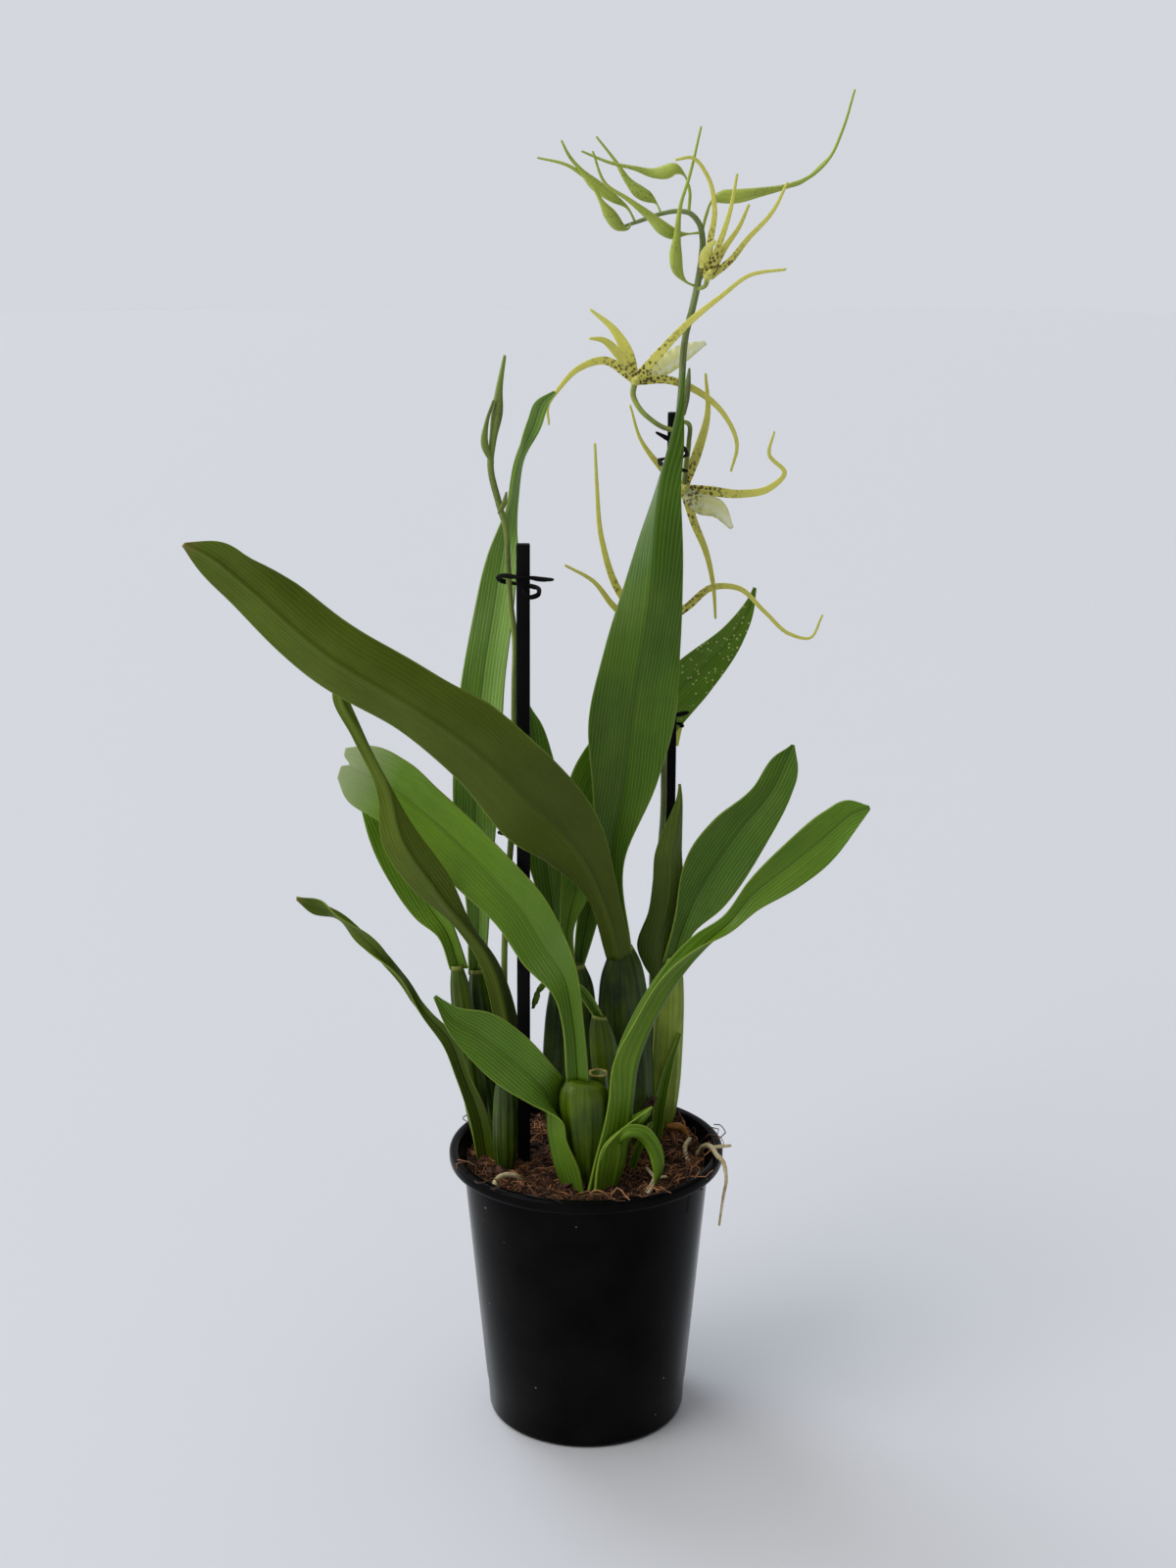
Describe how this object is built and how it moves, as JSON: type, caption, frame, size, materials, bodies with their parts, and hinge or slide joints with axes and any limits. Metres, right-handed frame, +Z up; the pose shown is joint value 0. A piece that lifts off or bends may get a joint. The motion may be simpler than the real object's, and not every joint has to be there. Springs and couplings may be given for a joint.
{
  "type": "potted brassia orchid",
  "caption": "Spider orchid with pseudobulbs, strap leaves and a flowering spike tied to stakes, growing in a round nursery pot of bark mix.",
  "frame": {"origin": "centre of the pot's flat underside", "axes": "+Z up; +X to the right as seen from the front, where the shorter stake stands on the left; +Y away from the front"},
  "size_m": [0.2906, 0.16, 0.6151],
  "materials": {
    "pot_plastic": "satin",
    "potting_mix": "matte",
    "stake_plastic": "matte",
    "tie_wire": "satin",
    "leaf_green": "satin",
    "leaf_dark": "satin",
    "leaf_fresh": "satin",
    "bulb_green": "satin",
    "bulb_fresh": "satin",
    "bract_pale": "matte",
    "husk_brown": "matte",
    "spike_green": "satin",
    "bud_green": "satin",
    "bloom_yellow": "matte",
    "root_white": "matte",
    "root_orange": "matte"
  },
  "bodies": {
    "root": {"bloom_lower": "bloom_yellow", "bloom_middle": "bloom_yellow", "bloom_top": "bloom_yellow", "bloom_upper": "bloom_yellow", "bract_curled": "leaf_fresh", "bract_sliver": "leaf_fresh", "bract_tall": "bract_pale", "bud_1": "bud_green", "bud_2": "bud_green", "bud_3": "bud_green", "bud_4": "bud_green", "bud_5": "bud_green", "bud_6": "bud_green", "bud_7": "bud_green", "bulb_back_left": "bulb_green", "bulb_far_left": "bulb_fresh", "bulb_front": "bulb_fresh", "bulb_front_left": "bulb_green", "bulb_mid": "bulb_green", "bulb_mid_right": "bulb_green", "bulb_right": "bulb_green", "bulb_small": "bulb_fresh", "husk_brown": "husk_brown", "leaf_far_right": "leaf_fresh", "leaf_front_apical": "leaf_fresh", "leaf_front_basal": "leaf_green", "leaf_left_arch": "leaf_dark", "leaf_left_behind": "leaf_green", "leaf_left_folded": "leaf_dark", "leaf_left_twisted": "leaf_dark", "leaf_mid_back": "leaf_green", "leaf_right_back": "leaf_green", "leaf_right_broad": "leaf_green", "leaf_right_folded": "leaf_dark", "leaf_short_back": "leaf_green", "leaf_small_growth": "bract_pale", "leaf_stub": "bulb_fresh", "leaf_tall_back": "leaf_green", "leaf_tall_front": "leaf_green", "pot": "pot_plastic", "potting_mix": "potting_mix", "root_front_left": "root_white", "root_front_right": "root_white", "root_orange": "root_orange", "root_over_rim": "root_white", "root_right": "root_white", "spike_tall": "spike_green", "spike_young": "bud_green", "stake_short": "stake_plastic", "stake_tall": "stake_plastic", "tie_short_low": "tie_wire", "tie_short_top": "tie_wire", "tie_tall_mid": "tie_wire", "tie_tall_top": "tie_wire"}
  },
  "joints": []
}
